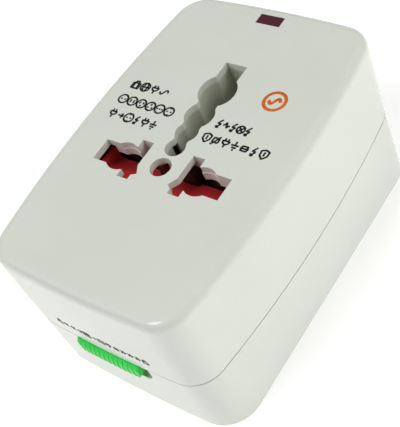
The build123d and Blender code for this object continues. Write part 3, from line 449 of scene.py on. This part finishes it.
def ink_tree():
    """Strokes to a thin skin of ink on the shell."""
    tree = bpy.data.node_groups.new("ink", "GeometryNodeTree")
    tree.interface.new_socket("Geometry", in_out="INPUT", socket_type="NodeSocketGeometry")
    tree.interface.new_socket("Geometry", in_out="OUTPUT", socket_type="NodeSocketGeometry")
    for name, kind in INK_INPUTS:
        tree.interface.new_socket(name, in_out="INPUT", socket_type=kind)
    given = tree.nodes.new("NodeGroupInput").outputs

    def step(kind, settings=None, **sockets):
        """Adds a node with its settings, then the values or links of its inputs, by name or number."""
        node = tree.nodes.new(kind)
        for name, value in (settings or {}).items():
            setattr(node, name, value)
        for name, value in sockets.items():
            numbered = name[0] == "i"
            socket = node.inputs[int(name[1:]) if numbered else name.replace("_", " ")]
            if isinstance(value, bpy.types.NodeSocket):
                tree.links.new(value, socket)
            else:
                socket.default_value = value
        return node.outputs

    lines = step("GeometryNodeMeshToCurve", Mesh=given["Geometry"])["Curve"]
    rounded = step("GeometryNodeFilletCurve", {"mode": "POLY"}, Curve=lines, Count=CORNER_POINTS,
                   Radius=given["Corner radius"], Limit_Radius=True)["Curve"]
    level = step("GeometryNodeSetCurveNormal", {"mode": "Z_UP"}, Curve=rounded)["Curve"]
    profile = step("GeometryNodeCurvePrimitiveQuadrilateral", Width=given["Line width"],
                   Height=given["Ink height"])["Curve"]
    ribbon = step("GeometryNodeCurveToMesh", Curve=level, Profile_Curve=profile, Fill_Caps=True)["Mesh"]
    place = step("GeometryNodeInputPosition")["Position"]
    capture = tree.nodes.new("GeometryNodeCaptureAttribute")
    capture.capture_items.new("FLOAT", "Height")
    tree.links.new(ribbon, capture.inputs["Geometry"])
    tree.links.new(step("ShaderNodeSeparateXYZ", Vector=place)["Z"], capture.inputs["Height"])
    turned = step("GeometryNodeTransform", Geometry=capture.outputs["Geometry"],
                  Rotation=given["Turn"])["Geometry"]
    start = step("ShaderNodeVectorMath", {"operation": "MULTIPLY_ADD"}, i0=given["Direction"],
                 i1=(-RAY_START,) * 3, i2=place)["Vector"]
    shell = step("GeometryNodeObjectInfo", Object=given["Shell"])["Geometry"]
    hit = step("GeometryNodeRaycast", Target_Geometry=shell, Source_Position=start,
               Ray_Direction=given["Direction"], Ray_Length=2 * RAY_START)["Hit Position"]
    lift = step("ShaderNodeVectorMath", {"operation": "SCALE"}, i0=given["Direction"],
                Scale=capture.outputs["Height"])["Vector"]
    on_shell = step("ShaderNodeVectorMath", {"operation": "SUBTRACT"}, i0=hit, i1=lift)["Vector"]
    laid = step("GeometryNodeSetPosition", Geometry=turned, Position=on_shell)["Geometry"]
    real = step("GeometryNodeRealizeInstances", Geometry=laid)["Geometry"]
    inked = step("GeometryNodeSetMaterial", Geometry=real, Material=given["Ink"])["Geometry"]
    tree.links.new(inked, tree.nodes.new("NodeGroupOutput").inputs[0])
    return tree


ink = ink_tree()
print("ink tree:", len(ink.nodes), "nodes")

# %% [markdown]
# ## Printing
# Each print is its own piece and rides with the socket half. The strokes start as bare edges, the
# tree turns them into ink, and the result is kept as a plain mesh. Black ink is nearly matt and
# never quite even; the orange is a little glossier.

# %% Print the signs
LINE_WIDTH, INK_HEIGHT, CORNER_RADIUS = 0.39 * MM, 0.02 * MM, 0.12 * MM
RING_LINE = 1.7 * LINE_WIDTH
MERGE_DISTANCE = 1e-7
DOWN, INWARD = (0, 0, -1), (0, 1, 0)
FLAT, UPRIGHT = (0, 0, 0), (pi / 2, 0, 0)
finishes["print_black"] = moulded("black_ink", rgb(0.011, 0.012, 0.014), 0.45, grain=2e-6, cloud=0.3)
finishes["print_orange"] = moulded("orange_ink", rgb(0.70, 0.15, 0.012), 0.5, grain=2e-6, cloud=0.15)


def skeleton(name, strokes):
    """A mesh of loose edges along the strokes, in metres on the flat sheet."""
    form = bmesh.new()
    for stroke in strokes:
        points = [form.verts.new((x * MM, y * MM, 0)) for x, y in stroke]
        for first, second in zip(points[:-1], points[1:]):
            form.edges.new((first, second))
    bmesh.ops.remove_doubles(form, verts=form.verts, dist=MERGE_DISTANCE)
    mesh = bpy.data.meshes.new(name)
    form.to_mesh(mesh)
    form.free()
    print(name, "has", len(strokes), "strokes")
    return mesh


def printed(name, strokes, slot, width, turn, direction):
    """A print as a plain mesh on the shell."""
    sheet = bpy.data.objects.new(name, skeleton(name, strokes))
    bpy.context.scene.collection.objects.link(sheet)
    modifier = sheet.modifiers.new("ink", "NODES")
    modifier.node_group = ink
    shell = frame["nodes"]["socket_shell"]
    values = [width, INK_HEIGHT, CORNER_RADIUS, turn, direction, shell, finishes[slot]]
    for (label, _), value in zip(INK_INPUTS, values):
        socket = next(item for item in ink.interface.items_tree if item.name == label)
        modifier[socket.identifier] = value
    sheet.update_tag()
    shape = bpy.data.meshes.new_from_object(sheet.evaluated_get(bpy.context.evaluated_depsgraph_get()))
    sheet.modifiers.clear()
    sheet.data = shape
    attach(sheet, "socket_half")
    print(name, "faces:", len(shape.polygons))


printed("face_signs", row_strokes(FACE_ROWS, FACE_HALF), "print_black", LINE_WIDTH, FLAT, DOWN)
printed("end_signs", row_strokes(END_ROWS, END_HALF), "print_black", LINE_WIDTH, UPRIGHT, INWARD)
orange = [ring(RING_RADIUS, RING_PLACE, count=48)]
orange += [[(RING_PLACE[0] + x, RING_PLACE[1] + y) for x, y in wave(*RING_WAVE)]]
printed("ring_sign", orange, "print_orange", RING_LINE, FLAT, DOWN)

# %% [markdown]
# ## Floor and surround
# The photo was taken on white, in light that comes from all sides. A pale floor that glows a little
# and an even white surround stand in for the white sheet and the room. A floor lit by lamps alone
# would need so much light that the adaptor on it would lose its shading.

# %% Floor and surround
FLOOR_SIZE, FLOOR_GRID, FLOOR_DROP = 3.0, 8, 0.05 * MM
FLOOR_GLOW, FLOOR_CLOUDS, SURROUND_LIGHT = 0.3, 6.0, 0.2
WHITE = rgb(1, 1, 1)
floor_mesh = bpy.data.meshes.new("floor")
form = bmesh.new()
bmesh.ops.create_grid(form, x_segments=FLOOR_GRID, y_segments=FLOOR_GRID, size=FLOOR_SIZE / 2)
form.to_mesh(floor_mesh)
form.free()
floor = bpy.data.objects.new("floor", floor_mesh)
floor.location.z = -FLOOR_DROP
bpy.context.scene.collection.objects.link(floor)
floor_paint = Paint("floor_white", Roughness=0.9, Emission_Strength=FLOOR_GLOW, Emission_Color=WHITE)
cloud = floor_paint.noise(FLOOR_CLOUDS)
floor_paint.feed("Base Color", floor_paint.mix(cloud, rgb(0.93, 0.93, 0.92), rgb(0.95, 0.95, 0.95)))
floor_mesh.materials.append(floor_paint.material)

surround = bpy.data.worlds.new("surround")
bpy.context.scene.world = surround
surround.use_nodes = True
background = surround.node_tree.nodes["Background"]
background.inputs["Color"].default_value = WHITE
background.inputs["Strength"].default_value = SURROUND_LIGHT
bpy.context.scene.view_settings.view_transform = "Standard"
print("floor:", FLOOR_SIZE, "m wide")

# %% [markdown]
# ## Lamps
# The photo's light is broad and soft, and the walls are a little lighter than the face. Large lamps
# around the adaptor give that. Their powers were first solved by rendering each lamp alone and
# adding the pictures up to the tones of the photo, and then trimmed by comparing tones. The shell
# is slightly glossy, so a lamp can also draw a line along its rounded rim. Only the rim lamp is seen
# in reflections, because it makes the small gleam on the near corner.

# %% Lamps
BODY_MIDDLE, NEAR_CORNER = (0, 0, 25), (20, -20, 30)
LAMPS = [
    # name, place and aim in millimetres, width in millimetres, watts, seen in reflections
    ("right_lamp", (370, 240, 380), BODY_MIDDLE, 260, 1.14, False),
    ("low_lamp", (420, 60, 120), BODY_MIDDLE, 260, 0.4, False),
    ("left_lamp", (-350, -250, 400), BODY_MIDDLE, 260, 1.1, False),
    ("front_lamp", (-120, -430, 330), BODY_MIDDLE, 300, 0.06, False),
    ("back_lamp", (-300, 380, 850), BODY_MIDDLE, 420, 1.4, False),
    ("rim_lamp", (-70, -285, 510), NEAR_CORNER, 180, 0.8, True),
]


def soft_lamp(name, spot, aim, size, power, mirrored):
    """A square area lamp at a place in millimetres, turned to a point."""
    lamp = bpy.data.lights.new(name, "AREA")
    lamp.size, lamp.energy = size * MM, power
    holder = bpy.data.objects.new(name, lamp)
    holder.location = Vector(spot) * MM
    holder.rotation_euler = (Vector(aim) - Vector(spot)).to_track_quat("-Z", "Y").to_euler()
    holder.visible_glossy = mirrored
    bpy.context.scene.collection.objects.link(holder)


for row in LAMPS:
    soft_lamp(*row)
print("lamps:", len(LAMPS))
